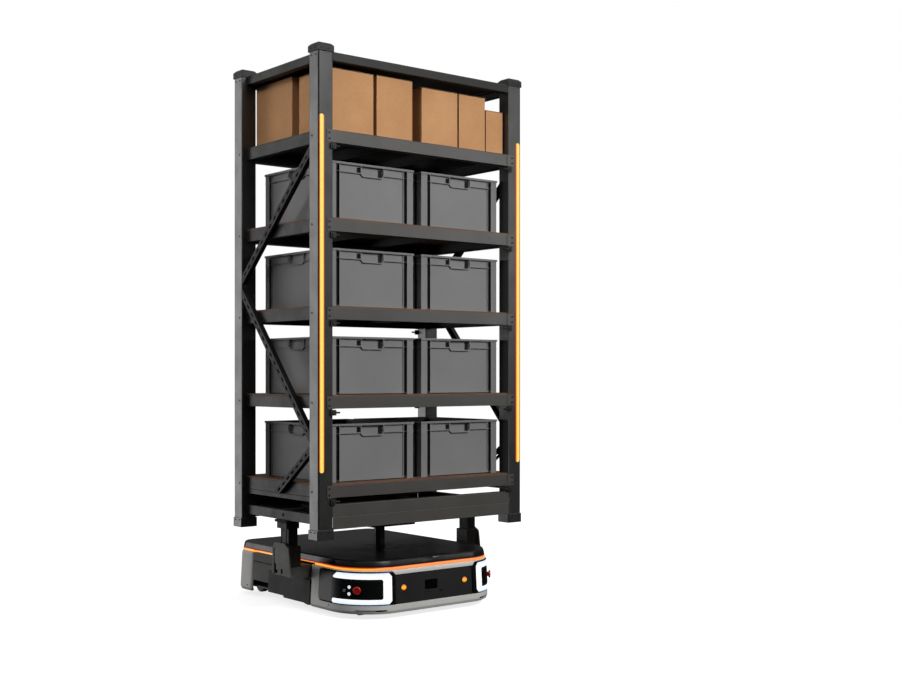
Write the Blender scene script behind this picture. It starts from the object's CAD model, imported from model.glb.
import bpy
import bmesh
import math
from mathutils import Vector, Matrix
from mathutils.geometry import delaunay_2d_cdt


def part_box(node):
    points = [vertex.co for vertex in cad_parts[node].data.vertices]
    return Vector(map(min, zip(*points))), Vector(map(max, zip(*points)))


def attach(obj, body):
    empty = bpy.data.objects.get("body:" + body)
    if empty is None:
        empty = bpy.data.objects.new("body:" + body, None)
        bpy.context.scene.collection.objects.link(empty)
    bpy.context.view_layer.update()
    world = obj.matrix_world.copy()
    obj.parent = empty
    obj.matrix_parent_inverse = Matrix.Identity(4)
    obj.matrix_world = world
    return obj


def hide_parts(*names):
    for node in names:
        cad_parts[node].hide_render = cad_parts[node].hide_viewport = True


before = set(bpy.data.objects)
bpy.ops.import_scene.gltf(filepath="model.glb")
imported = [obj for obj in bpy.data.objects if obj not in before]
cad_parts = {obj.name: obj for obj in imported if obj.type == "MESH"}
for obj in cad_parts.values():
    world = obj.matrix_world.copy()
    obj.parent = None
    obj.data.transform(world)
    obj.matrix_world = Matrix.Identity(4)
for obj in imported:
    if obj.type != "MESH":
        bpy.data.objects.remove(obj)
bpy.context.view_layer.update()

scene = bpy.context.scene
MM = 0.001

# ------------------------------------------------------------------ dimensions, in millimetres, as in the CAD source
BODY_HALF_W, BODY_HALF_L, FRONT_FLAT = 365.0, 465.0, 205.0
CORNER_MID = (313.0, -408.0)
CORNER_END_Y = -260.0
REAR_CORNER_R = 80.0
SKIRT_Z, BODY_TOP_Z, BODY_TAPER = 22.0, 184.0, 8.0
LED_TOP_Z, DECK_TOP_Z = 197.0, 222.0
FRONT_SHELL_Y, REAR_SHELL_Y = -125.0, 318.0
RACK_Y = -90.0
F, B = -398.5, 218.5
HX, PI_X, PI_F, PI_B = 500.0, 435.0, -338.5, 158.5
SHELF_TOPS = (513.0, 844.0, 1176.0, 1504.0, 1833.0)


# ------------------------------------------------------------------ materials
def tree(name):
    m = bpy.data.materials.new(name)
    m.use_nodes = True
    nt = m.node_tree
    nt.nodes.clear()
    out = nt.nodes.new("ShaderNodeOutputMaterial")
    b = nt.nodes.new("ShaderNodeBsdfPrincipled")
    nt.links.new(b.outputs[0], out.inputs[0])
    return m, nt, b


def N(nt, kind, **props):
    n = nt.nodes.new(kind)
    for k, v in props.items():
        setattr(n, k, v)
    return n


def coords(nt, scale=(1, 1, 1)):
    tc = N(nt, "ShaderNodeTexCoord")
    mp = N(nt, "ShaderNodeMapping")
    mp.inputs["Scale"].default_value = scale
    nt.links.new(tc.outputs["Object"], mp.inputs["Vector"])
    return mp.outputs["Vector"]


def noise_out(nt, vec, scale, detail=3.0, rough=0.5, kind="Fac"):
    n = N(nt, "ShaderNodeTexNoise")
    n.inputs["Scale"].default_value = scale
    n.inputs["Detail"].default_value = detail
    n.inputs["Roughness"].default_value = rough
    nt.links.new(vec, n.inputs["Vector"])
    return n.outputs[0]


def remap(nt, val, a0, a1, b0, b1):
    n = N(nt, "ShaderNodeMapRange")
    n.inputs[1].default_value, n.inputs[2].default_value = a0, a1
    n.inputs[3].default_value, n.inputs[4].default_value = b0, b1
    nt.links.new(val, n.inputs[0])
    return n.outputs[0]


def math_node(nt, op, a, b=None):
    n = N(nt, "ShaderNodeMath", operation=op)
    for i, v in enumerate((a, b)):
        if v is None:
            continue
        if isinstance(v, (int, float)):
            n.inputs[i].default_value = v
        else:
            nt.links.new(v, n.inputs[i])
    return n.outputs[0]


def mix_rgb(nt, fac, a, b, mode="MIX"):
    n = N(nt, "ShaderNodeMix", data_type="RGBA", blend_type=mode)
    if isinstance(fac, (int, float)):
        n.inputs[0].default_value = fac
    else:
        nt.links.new(fac, n.inputs[0])
    for i, v in ((6, a), (7, b)):
        if isinstance(v, tuple):
            n.inputs[i].default_value = (*v, 1.0) if len(v) == 3 else v
        else:
            nt.links.new(v, n.inputs[i])
    return n.outputs[2]


def ramp(nt, val, stops):
    n = N(nt, "ShaderNodeValToRGB")
    els = n.color_ramp.elements
    while len(els) > 1:
        els.remove(els[-1])
    els[0].position, els[0].color = stops[0][0], (*stops[0][1], 1)
    for p, c in stops[1:]:
        e = els.new(p)
        e.color = (*c, 1)
    nt.links.new(val, n.inputs[0])
    return n.outputs[0]


def lin(r, g, b):
    f = lambda c: c / 12.92 if c <= 0.04045 else ((c + 0.055) / 1.055) ** 2.4
    return tuple(f(x / 255.0) for x in (r, g, b))


def finish(name, dark, light, rough=(0.35, 0.5), metallic=0.0, spec=0.5, blotch=6.0, grain=700.0, bump=0.12,
           bump_mm=0.15, edge=None, streak=None, coat=0.0, coat_rough=0.2, dust=0.0, sheen=0.0, speck=None):
    """Moulded or coated surface: broad tone variation, fine grain, lighter rubbed edges and settled dust."""
    m, nt, b = tree(name)
    vec = coords(nt)
    big = noise_out(nt, vec, blotch, 4.0, 0.55)
    tone = remap(nt, big, 0.3, 0.7, 0.0, 1.0)
    col = mix_rgb(nt, tone, dark, light)
    fine = noise_out(nt, vec, grain, 2.0, 0.6)
    col = mix_rgb(nt, remap(nt, fine, 0.35, 0.65, 0.0, 0.22), col, tuple(min(1.0, c * 1.7) for c in light))
    if streak:
        sv = coords(nt, streak[0])
        st = noise_out(nt, sv, streak[1], 4.0, 0.6)
        col = mix_rgb(nt, remap(nt, st, 0.45, 0.75, 0.0, streak[2]), col, tuple(c * 1.5 for c in light))
    if speck:
        vo = N(nt, "ShaderNodeTexVoronoi")
        vo.inputs["Scale"].default_value = speck[0]
        nt.links.new(vec, vo.inputs["Vector"])
        col = mix_rgb(nt, remap(nt, vo.outputs["Distance"], 0.02, 0.09, speck[1], 0.0), col, tuple(min(1, c * 2.4) for c in light))
    at = N(nt, "ShaderNodeAttribute", attribute_name="edge")
    wear = noise_out(nt, vec, 55.0, 5.0, 0.65)
    ef = math_node(nt, "MULTIPLY", at.outputs["Fac"], remap(nt, wear, 0.38, 0.62, 0.35, 1.0))
    ef = math_node(nt, "MULTIPLY", ef, 0.55 if edge is None else edge[1])
    col = mix_rgb(nt, ef, col, tuple(min(1.0, c * 1.9 + 0.01) for c in light) if edge is None else edge[0])
    cav = N(nt, "ShaderNodeAttribute", attribute_name="cav")
    col = mix_rgb(nt, cav.outputs["Fac"], col, tuple(c * 0.04 for c in dark))
    if dust > 0:
        geo = N(nt, "ShaderNodeNewGeometry")
        sep = N(nt, "ShaderNodeSeparateXYZ")
        nt.links.new(geo.outputs["Normal"], sep.inputs[0])
        up = remap(nt, sep.outputs["Z"], 0.6, 1.0, 0.0, 1.0)
        dn = remap(nt, noise_out(nt, vec, 22.0, 6.0, 0.7), 0.35, 0.75, 0.0, dust)
        col = mix_rgb(nt, math_node(nt, "MULTIPLY", up, dn), col, (0.22, 0.21, 0.2))
    nt.links.new(col, b.inputs["Base Color"])
    nt.links.new(remap(nt, noise_out(nt, vec, blotch * 3.1, 5.0, 0.6), 0.3, 0.7, rough[0], rough[1]), b.inputs["Roughness"])
    b.inputs["Metallic"].default_value = metallic
    b.inputs["Specular IOR Level"].default_value = spec
    b.inputs["Coat Weight"].default_value = coat
    b.inputs["Coat Roughness"].default_value = coat_rough
    b.inputs["Sheen Weight"].default_value = sheen
    bp = N(nt, "ShaderNodeBump")
    bp.inputs["Strength"].default_value = bump
    bp.inputs["Distance"].default_value = bump_mm * MM
    nt.links.new(noise_out(nt, vec, grain * 0.8, 3.0, 0.6), bp.inputs["Height"])
    nt.links.new(bp.outputs[0], b.inputs["Normal"])
    return m


def brushed(name, base, rough, axis_scale=(1, 1, 40), metallic=1.0):
    """Machined or plated metal with fine lay lines and a few handling marks."""
    m, nt, b = tree(name)
    vec = coords(nt)
    lay = noise_out(nt, coords(nt, axis_scale), 60.0, 6.0, 0.7)
    blot = noise_out(nt, vec, 30.0, 5.0, 0.6)
    col = mix_rgb(nt, remap(nt, blot, 0.3, 0.7, 0.0, 1.0), tuple(c * 0.8 for c in base), base)
    col = mix_rgb(nt, remap(nt, lay, 0.3, 0.7, 0.0, 0.35), col, tuple(min(1, c * 1.25) for c in base))
    nt.links.new(col, b.inputs["Base Color"])
    nt.links.new(remap(nt, lay, 0.3, 0.7, rough * 0.75, rough * 1.3), b.inputs["Roughness"])
    b.inputs["Metallic"].default_value = metallic
    bp = N(nt, "ShaderNodeBump")
    bp.inputs["Strength"].default_value = 0.12
    bp.inputs["Distance"].default_value = 0.0001
    nt.links.new(lay, bp.inputs["Height"])
    nt.links.new(bp.outputs[0], b.inputs["Normal"])
    return m


def glow(name, stops, axis, lo, hi, strength, front=None, body=(0.8, 0.4, 0.1)):
    """Lit diffuser: brightest along its middle, deeper towards its edges. axis is the object coordinate across it."""
    m, nt, b = tree(name)
    tc = N(nt, "ShaderNodeTexCoord")
    sep = N(nt, "ShaderNodeSeparateXYZ")
    nt.links.new(tc.outputs["Object"], sep.inputs[0])
    v = sep.outputs["XYZ".index(axis)]
    if axis == "X":
        v = math_node(nt, "ABSOLUTE", v)
    c = ramp(nt, remap(nt, v, lo, hi, 0.0, 1.0), stops)
    if front:
        geo = N(nt, "ShaderNodeNewGeometry")
        sn = N(nt, "ShaderNodeSeparateXYZ")
        nt.links.new(geo.outputs["True Normal"], sn.inputs[0])
        f = remap(nt, sn.outputs["Y"], -0.97, -0.80, 1.0, 0.0)
        c = mix_rgb(nt, f, c, ramp(nt, remap(nt, v, lo, hi, 0.0, 1.0), front))
    led = remap(nt, noise_out(nt, coords(nt), 90.0, 2.0, 0.5), 0.3, 0.7, 0.93, 1.07)
    nt.links.new(c, b.inputs["Emission Color"])
    nt.links.new(math_node(nt, "MULTIPLY", led, strength), b.inputs["Emission Strength"])
    b.inputs["Base Color"].default_value = (*body, 1)
    b.inputs["Roughness"].default_value = 0.35
    return m


def carton_mat():
    """Kraft corrugated board: fine fibres, faint flutes running up the sides, rubbed corners."""
    m, nt, b = tree("kraft_board")
    vec = coords(nt)
    big = noise_out(nt, vec, 5.0, 4.0, 0.55)
    col = mix_rgb(nt, remap(nt, big, 0.3, 0.7, 0.0, 1.0), lin(178, 130, 88), lin(194, 146, 102))
    fib = noise_out(nt, coords(nt, (1.0, 1.0, 0.22)), 520.0, 4.0, 0.7)
    col = mix_rgb(nt, remap(nt, fib, 0.42, 0.75, 0.0, 0.5), col, lin(150, 108, 72))
    spots = noise_out(nt, vec, 160.0, 3.0, 0.8)
    col = mix_rgb(nt, remap(nt, spots, 0.62, 0.72, 0.0, 0.4), col, lin(120, 84, 54))
    at = N(nt, "ShaderNodeAttribute", attribute_name="edge")
    col = mix_rgb(nt, math_node(nt, "MULTIPLY", at.outputs["Fac"], 0.35), col, lin(206, 168, 128))
    cav = N(nt, "ShaderNodeAttribute", attribute_name="cav")
    col = mix_rgb(nt, cav.outputs["Fac"], col, lin(70, 46, 26))
    nt.links.new(col, b.inputs["Base Color"])
    nt.links.new(remap(nt, fib, 0.3, 0.7, 0.72, 0.92), b.inputs["Roughness"])
    b.inputs["Specular IOR Level"].default_value = 0.25
    wv = N(nt, "ShaderNodeTexWave", wave_type="BANDS", bands_direction="X")
    wv.inputs["Scale"].default_value = 46.0
    wv.inputs["Distortion"].default_value = 0.4
    nt.links.new(vec, wv.inputs["Vector"])
    wy = N(nt, "ShaderNodeTexWave", wave_type="BANDS", bands_direction="Y")
    wy.inputs["Scale"].default_value = 46.0
    wy.inputs["Distortion"].default_value = 0.4
    nt.links.new(vec, wy.inputs["Vector"])
    h = math_node(nt, "ADD", math_node(nt, "MULTIPLY", wv.outputs["Fac"], 0.25), math_node(nt, "MULTIPLY", wy.outputs["Fac"], 0.25))
    h = math_node(nt, "ADD", h, fib)
    bp = N(nt, "ShaderNodeBump")
    bp.inputs["Strength"].default_value = 0.25
    bp.inputs["Distance"].default_value = 0.0003
    nt.links.new(h, bp.inputs["Height"])
    nt.links.new(bp.outputs[0], b.inputs["Normal"])
    return m


def chipboard_mat():
    """Pressed board: flakes on the faces, orange-brown cut edge."""
    m, nt, b = tree("pressed_board")
    vec = coords(nt, (1, 1, 3))
    vo = N(nt, "ShaderNodeTexVoronoi", feature="F1")
    vo.inputs["Scale"].default_value = 260.0
    nt.links.new(vec, vo.inputs["Vector"])
    hue = N(nt, "ShaderNodeSeparateColor")
    nt.links.new(vo.outputs["Color"], hue.inputs[0])
    col = mix_rgb(nt, hue.outputs[0], lin(84, 58, 40), lin(118, 82, 57))
    big = noise_out(nt, vec, 9.0, 4.0, 0.6)
    col = mix_rgb(nt, remap(nt, big, 0.35, 0.7, 0.0, 0.5), col, lin(70, 46, 31))
    nt.links.new(col, b.inputs["Base Color"])
    nt.links.new(remap(nt, hue.outputs[1], 0.0, 1.0, 0.6, 0.85), b.inputs["Roughness"])
    bp = N(nt, "ShaderNodeBump")
    bp.inputs["Strength"].default_value = 0.3
    bp.inputs["Distance"].default_value = 0.0003
    nt.links.new(vo.outputs["Distance"], bp.inputs["Height"])
    nt.links.new(bp.outputs[0], b.inputs["Normal"])
    return m


def glossy(name, dark, light, rough, coat=0.6, spec=0.5):
    """Polished moulding with faint swirl marks."""
    m, nt, b = tree(name)
    vec = coords(nt)
    big = noise_out(nt, vec, 12.0, 4.0, 0.6)
    col = mix_rgb(nt, remap(nt, big, 0.3, 0.7, 0.0, 1.0), dark, light)
    at = N(nt, "ShaderNodeAttribute", attribute_name="edge")
    col = mix_rgb(nt, math_node(nt, "MULTIPLY", at.outputs["Fac"], 0.5), col, tuple(c * 2.2 + 0.006 for c in light))
    nt.links.new(col, b.inputs["Base Color"])
    sw = noise_out(nt, coords(nt, (1, 1, 6)), 140.0, 5.0, 0.7)
    nt.links.new(remap(nt, sw, 0.3, 0.75, rough * 0.8, rough * 1.5), b.inputs["Roughness"])
    b.inputs["Specular IOR Level"].default_value = spec
    b.inputs["Coat Weight"].default_value = coat
    b.inputs["Coat Roughness"].default_value = 0.08
    bp = N(nt, "ShaderNodeBump")
    bp.inputs["Strength"].default_value = 0.06
    bp.inputs["Distance"].default_value = 0.0001
    nt.links.new(sw, bp.inputs["Height"])
    nt.links.new(bp.outputs[0], b.inputs["Normal"])
    return m


M = {}
M["rack"] = finish("powder_coat_grey", lin(30, 30, 29), lin(36, 36, 35), rough=(0.3, 0.4), spec=0.7, blotch=4.0, grain=900.0,
                   bump=0.25, bump_mm=0.1, edge=(lin(96, 96, 94), 0.45), dust=0.06)
M["beam"] = finish("powder_coat_beam", lin(62, 61, 58), lin(73, 71, 68), rough=(0.3, 0.42), spec=0.55, blotch=3.2, grain=900.0,
                   bump=0.25, bump_mm=0.1, edge=(lin(112, 110, 106), 0.45), dust=0.05)
M["rack_dark"] = finish("powder_coat_black", lin(24, 24, 24), lin(31, 31, 30), rough=(0.34, 0.46), spec=0.45, blotch=5.0, grain=900.0,
                        bump=0.25, bump_mm=0.12, dust=0.1)
M["member"] = finish("powder_coat_member", lin(28, 28, 27), lin(36, 35, 34), rough=(0.46, 0.58), spec=0.3, blotch=4.5, grain=900.0,
                     bump=0.25, bump_mm=0.12, edge=(lin(92, 91, 88), 0.45), dust=0.08)
M["brace"] = finish("powder_coat_brace", lin(20, 20, 20), lin(27, 27, 26), rough=(0.5, 0.62), spec=0.25, blotch=6.0, grain=900.0,
                    bump=0.25, bump_mm=0.12, edge=(lin(70, 70, 68), 0.4), dust=0.06)
M["cap"] = finish("black_moulding", lin(25, 25, 25), lin(32, 32, 31), rough=(0.46, 0.6), spec=0.3, blotch=18.0, grain=600.0, bump=0.3, dust=0.06)
M["shell"] = finish("silver_lacquer", lin(186, 185, 182), lin(196, 195, 192), rough=(0.46, 0.56), metallic=0.0, spec=0.35, blotch=5.0,
                    grain=1400.0, bump=0.06, bump_mm=0.05, edge=(lin(200, 200, 197), 0.5), speck=(900.0, 0.25))
M["side"] = finish("side_grey_plastic", lin(74, 73, 71), lin(82, 81, 79), rough=(0.58, 0.7), spec=0.25, blotch=6.0, grain=900.0, bump=0.2,
                   bump_mm=0.08, edge=(lin(140, 139, 135), 0.5))
M["side_low"] = finish("side_dark_plastic", lin(48, 48, 47), lin(55, 55, 54), rough=(0.6, 0.72), spec=0.2, blotch=6.0, grain=900.0, bump=0.2,
                       bump_mm=0.08, edge=(lin(105, 105, 102), 0.5))
M["panel"] = finish("charcoal_plastic", lin(27, 27, 27), lin(33, 33, 33), rough=(0.42, 0.55), spec=0.25, blotch=8.0, grain=900.0,
                    bump=0.25, bump_mm=0.08)
M["deck"] = finish("deck_black", lin(12, 12, 12), lin(18, 18, 18), rough=(0.26, 0.36), spec=0.3, blotch=3.5, grain=650.0, bump=0.3,
                   bump_mm=0.12, edge=(lin(84, 84, 82), 0.55), dust=0.012)
M["gloss"] = glossy("black_gloss", lin(6, 6, 7), lin(11, 11, 12), 0.34, coat=0.0, spec=0.16)
M["glass"] = glossy("window_glass", lin(3, 3, 7), lin(6, 6, 12), 0.18, coat=0.0, spec=0.12)
M["ram"] = finish("ram_black", lin(22, 22, 22), lin(30, 30, 30), rough=(0.22, 0.34), metallic=0.4, spec=0.6, blotch=14.0, grain=700.0, bump=0.15)
M["void"] = finish("recess_black", lin(3, 3, 3), lin(6, 6, 6), rough=(0.7, 0.9), spec=0.04, blotch=12.0, grain=500.0, bump=0.1)
M["white_light"] = glow("headlight_diffuser", [(0.0, (0.62, 0.72, 1.0)), (0.12, (0.86, 0.92, 1.0)), (0.5, (1, 1, 1)), (0.88, (0.86, 0.92, 1.0)),
                        (1.0, (0.6, 0.7, 1.0))], "Z", 0.057, 0.178, 1.12, body=(0.1, 0.1, 0.11))
M["white_dot"] = glow("status_diffuser", [(0.0, (0.75, 0.8, 0.95)), (1.0, (0.85, 0.9, 1.0))], "Z", 0.09, 0.13, 0.85, body=(0.1, 0.1, 0.11))
M["amber"] = glow("amber_lens", [(0.0, (0.75, 0.09, 0.005)), (0.22, (1.0, 0.26, 0.01)), (0.5, (1.0, 0.62, 0.06)), (0.78, (1.0, 0.26, 0.01)),
                  (1.0, (0.75, 0.09, 0.005))], "Z", 0.104, 0.126, 1.0, body=(0.06, 0.02, 0.004))
M["ring"] = glow("ring_diffuser", [(0.0, (0.9, 0.12, 0.006)), (0.16, (1.0, 0.34, 0.02)), (0.34, (1.0, 0.62, 0.075)), (0.52, (1.0, 0.52, 0.05)),
                 (0.68, (0.95, 0.17, 0.008)), (0.84, (0.55, 0.03, 0.002)), (1.0, (0.2, 0.005, 0.001))], "Z", 0.1845, 0.1968, 1.05,
                 front=[(0.0, (0.95, 0.25, 0.05)), (0.3, (1.0, 0.34, 0.085)), (0.7, (1.0, 0.36, 0.1)), (1.0, (0.9, 0.2, 0.04))],
                 body=(0.05, 0.015, 0.003))
M["strip"] = glow("strip_diffuser", [(0.0, (0.7, 0.05, 0.002)), (0.1, (1.0, 0.2, 0.008)), (0.24, (1.0, 0.6, 0.09)), (0.5, (1.0, 0.74, 0.16)),
                  (0.8, (1.0, 0.68, 0.12)), (0.93, (1.0, 0.4, 0.03)), (1.0, (0.6, 0.06, 0.002))], "X", 0.4745, 0.4945, 1.08, body=(0.05, 0.02, 0.005))
M["red"] = finish("red_button", lin(150, 16, 11), lin(168, 20, 14), rough=(0.3, 0.42), blotch=60.0, grain=900.0, bump=0.1, bump_mm=0.05,
                  edge=(lin(190, 50, 40), 0.4), coat=0.2)
M["button"] = finish("grey_button", lin(92, 93, 95), lin(118, 119, 121), rough=(0.3, 0.45), blotch=90.0, grain=900.0, bump=0.1,
                     bump_mm=0.05)
M["bracket"] = finish("bracket_grey", lin(84, 84, 82), lin(92, 92, 89), rough=(0.52, 0.64), spec=0.28, blotch=9.0, grain=900.0, bump=0.25,
                      bump_mm=0.1, edge=(lin(150, 150, 146), 0.5))
M["chassis"] = finish("chassis_paint", lin(34, 34, 34), lin(44, 44, 43), rough=(0.5, 0.65), blotch=7.0, grain=600.0, bump=0.3, dust=0.1)
M["cast"] = brushed("cast_aluminium", (0.5, 0.5, 0.5), 0.5, (1, 1, 1), 0.9)
M["steel"] = brushed("bright_steel", (0.6, 0.6, 0.6), 0.28)
M["zinc"] = brushed("zinc_steel", (0.42, 0.42, 0.41), 0.38, (1, 1, 1), 0.85)
M["contact"] = brushed("contact_metal", (0.75, 0.55, 0.3), 0.3, (1, 40, 1))
M["battery"] = finish("battery_case", lin(38, 42, 48), lin(48, 52, 58), rough=(0.45, 0.6), blotch=9.0, grain=500.0, bump=0.3)
M["poly"] = finish("polyurethane", lin(38, 38, 39), lin(50, 50, 51), rough=(0.5, 0.65), blotch=14.0, grain=500.0, bump=0.2, dust=0.1)
M["rubber"] = finish("black_rubber", lin(22, 22, 22), lin(32, 32, 31), rough=(0.7, 0.85), spec=0.2, blotch=16.0, grain=420.0, bump=0.4)
M["tote"] = finish("tote_plastic", lin(111, 111, 111), lin(120, 120, 120), rough=(0.56, 0.7), spec=0.18, blotch=4.0, grain=520.0,
                   bump=0.3, bump_mm=0.12, edge=(lin(150, 150, 147), 0.45), streak=((1.0, 1.0, 0.15), 120.0, 0.06), dust=0.1)
M["carton"] = carton_mat()
M["board"] = chipboard_mat()


# ------------------------------------------------------------------ mesh helpers (geometry is given in millimetres)
def sharp_edges(bm, angle, test=None):
    lim = math.radians(angle)
    out = []
    for e in bm.edges:
        if len(e.link_faces) == 2 and e.calc_face_angle(0.0) > lim and (test is None or test(e)):
            out.append(e)
    return out


def bevel(bm, width, segs=2, angle=30.0, test=None, mark=True, clamp=True, profile=0.5):
    es = sharp_edges(bm, angle, test)
    if not es:
        return
    lay = bm.faces.layers.float.get("edge") or bm.faces.layers.float.new("edge")
    es = sharp_edges(bm, angle, test)
    r = bmesh.ops.bevel(bm, geom=es, offset=width, offset_type="OFFSET", segments=segs, profile=profile, affect="EDGES",
                        clamp_overlap=clamp, miter_outer="ARC" if segs > 1 else "SHARP")
    if mark:
        for f in r["faces"]:
            f[lay] = 1.0


def emit(bm, name, mat, body, replaces=(), smooth=True, weighted=True, scale=MM, flat_over=0.0):
    """Mesh in millimetres to a finished piece that rides on a body."""
    for kind in ("edge", "cav"):
        if bm.faces.layers.float.get(kind) is None:
            bm.faces.layers.float.new(kind)
    bmesh.ops.recalc_face_normals(bm, faces=bm.faces)
    me = bpy.data.meshes.new(name)
    bm.to_mesh(me)
    bm.free()
    if scale != 1:
        me.transform(Matrix.Scale(scale, 4))
    if smooth:
        me.shade_smooth()
        if flat_over:
            me.polygons.foreach_set("use_smooth", [q.area < flat_over for q in me.polygons])
    ob = bpy.data.objects.new(name, me)
    scene.collection.objects.link(ob)
    me.materials.append(mat)
    if smooth and weighted:
        w = ob.modifiers.new("normals", "WEIGHTED_NORMAL")
        w.keep_sharp = True
        w.weight = 100
    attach(ob, body)
    if replaces:
        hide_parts(*replaces)
    return ob


def node_bm(node, keep=None, dissolve=0.6):
    """The CAD node's mesh in millimetres, with its flat faces merged; keep(centre) picks connected solids."""
    bm = bmesh.new()
    bm.from_mesh(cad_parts[node].data)
    bmesh.ops.scale(bm, vec=(1000, 1000, 1000), verts=bm.verts)
    bmesh.ops.remove_doubles(bm, verts=bm.verts, dist=0.003)
    if keep:
        seen, drop = set(), []
        for v in bm.verts:
            if v in seen:
                continue
            stack, isl = [v], []
            seen.add(v)
            while stack:
                q = stack.pop()
                isl.append(q)
                for e in q.link_edges:
                    o = e.other_vert(q)
                    if o not in seen:
                        seen.add(o)
                        stack.append(o)
            lo = [min(p.co[k] for p in isl) for k in range(3)]
            hi = [max(p.co[k] for p in isl) for k in range(3)]
            if not keep(lo, hi):
                drop += isl
        bmesh.ops.delete(bm, geom=drop, context="VERTS")
    bmesh.ops.dissolve_limit(bm, angle_limit=math.radians(dissolve), verts=bm.verts, edges=bm.edges)
    return bm


def copy_node(node, name, mat, body, width=1.0, segs=2, angle=30.0, keep=None, replaces=True, dissolve=0.6, after=None):
    bm = node_bm(node, keep, dissolve)
    bevel(bm, width, segs, angle)
    if after:
        after(bm)
    return emit(bm, name, mat, body, (node,) if replaces else (), flat_over=2.5e-3)


def complex_bm(ops):
    """Exact union and difference of axis-aligned boxes: ops are ("+" or "-", x0, x1, y0, y1, z0, z1)."""
    ax = []
    for k in range(3):
        vals = sorted({round(o[1 + 2 * k], 4) for o in ops} | {round(o[2 + 2 * k], 4) for o in ops})
        ax.append(vals)
    idx = [{v: i for i, v in enumerate(a)} for a in ax]
    import numpy as np
    occ = np.zeros(tuple(len(a) - 1 for a in ax), bool)
    for o in ops:
        s = tuple(slice(idx[k][round(o[1 + 2 * k], 4)], idx[k][round(o[2 + 2 * k], 4)]) for k in range(3))
        occ[s] = o[0] == "+"
    bm = bmesh.new()
    verts = {}

    def vert(i, j, k):
        key = (i, j, k)
        if key not in verts:
            verts[key] = bm.verts.new((ax[0][i], ax[1][j], ax[2][k]))
        return verts[key]

    nx, ny, nz = occ.shape
    pad = np.zeros((nx + 2, ny + 2, nz + 2), bool)
    pad[1:-1, 1:-1, 1:-1] = occ
    dirs = (((1, 0, 0), ((1, 0, 0), (1, 1, 0), (1, 1, 1), (1, 0, 1))), ((-1, 0, 0), ((0, 0, 0), (0, 0, 1), (0, 1, 1), (0, 1, 0))),
            ((0, 1, 0), ((0, 1, 0), (0, 1, 1), (1, 1, 1), (1, 1, 0))), ((0, -1, 0), ((0, 0, 0), (1, 0, 0), (1, 0, 1), (0, 0, 1))),
            ((0, 0, 1), ((0, 0, 1), (1, 0, 1), (1, 1, 1), (0, 1, 1))), ((0, 0, -1), ((0, 0, 0), (0, 1, 0), (1, 1, 0), (1, 0, 0))))
    for i in range(nx):
        for j in range(ny):
            for k in range(nz):
                if not occ[i, j, k]:
                    continue
                for (dx, dy, dz), q in dirs:
                    if not pad[i + 1 + dx, j + 1 + dy, k + 1 + dz]:
                        bm.faces.new([vert(i + a, j + b_, k + c) for a, b_, c in q])
    bmesh.ops.dissolve_limit(bm, angle_limit=math.radians(0.5), verts=bm.verts, edges=bm.edges)
    return bm


def add_box(bm, x0, x1, y0, y1, z0, z1):
    vs = [bm.verts.new(p) for p in ((x0, y0, z0), (x1, y0, z0), (x1, y1, z0), (x0, y1, z0), (x0, y0, z1), (x1, y0, z1), (x1, y1, z1), (x0, y1, z1))]
    return [bm.faces.new([vs[i] for i in q]) for q in ((3, 2, 1, 0), (4, 5, 6, 7), (0, 1, 5, 4), (1, 2, 6, 5), (2, 3, 7, 6), (3, 0, 4, 7))]


def lathe(bm, profile, centre, axis, segs=40):
    """Closed turned solid: profile is [(radius, height)], from the foot on the axis to the top on the axis."""
    axis = Vector(axis).normalized()
    side = axis.orthogonal().normalized()
    up = axis.cross(side)
    rings = []
    for r, h in profile:
        c = Vector(centre) + axis * h
        if r < 1e-6:
            rings.append([bm.verts.new(c)])
        else:
            rings.append([bm.verts.new(c + (side * math.cos(t) + up * math.sin(t)) * r) for t in (2 * math.pi * i / segs for i in range(segs))])
    for a, b_ in zip(rings, rings[1:]):
        for i in range(segs):
            j = (i + 1) % segs
            if len(a) == 1 and len(b_) == 1:
                continue
            if len(a) == 1:
                bm.faces.new((a[0], b_[j], b_[i]))
            elif len(b_) == 1:
                bm.faces.new((a[i], a[j], b_[0]))
            else:
                bm.faces.new((a[i], a[j], b_[j], b_[i]))


# ------------------------------------------------------------------ surface of the robot body
def lean(z):
    return BODY_TAPER * (z - SKIRT_Z) / (BODY_TOP_Z - SKIRT_Z)


def circle3(p1, p2, p3):
    (x1, y1), (x2, y2), (x3, y3) = p1, p2, p3
    d = 2 * (x1 * (y2 - y3) + x2 * (y3 - y1) + x3 * (y1 - y2))
    ux = ((x1**2 + y1**2) * (y2 - y3) + (x2**2 + y2**2) * (y3 - y1) + (x3**2 + y3**2) * (y1 - y2)) / d
    uy = ((x1**2 + y1**2) * (x3 - x2) + (x2**2 + y2**2) * (x1 - x3) + (x3**2 + y3**2) * (x2 - x1)) / d
    return ux, uy, math.hypot(x1 - ux, y1 - uy)


CX0, CY0, CR0 = circle3((FRONT_FLAT, -BODY_HALF_L), CORNER_MID, (BODY_HALF_W, CORNER_END_Y))
A0 = math.atan2(FRONT_FLAT - CX0, -(-BODY_HALF_L - CY0))
A1 = math.atan2(BODY_HALF_W - CX0, -(CORNER_END_Y - CY0))
S_CORNER = FRONT_FLAT + CR0 * (A1 - A0)
S_REARC = S_CORNER + (BODY_HALF_L - REAR_CORNER_R - CORNER_END_Y)
S_REAR = S_REARC + REAR_CORNER_R * math.pi / 2
S_END = S_REAR + (BODY_HALF_W - REAR_CORNER_R)
_cache = {}


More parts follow.
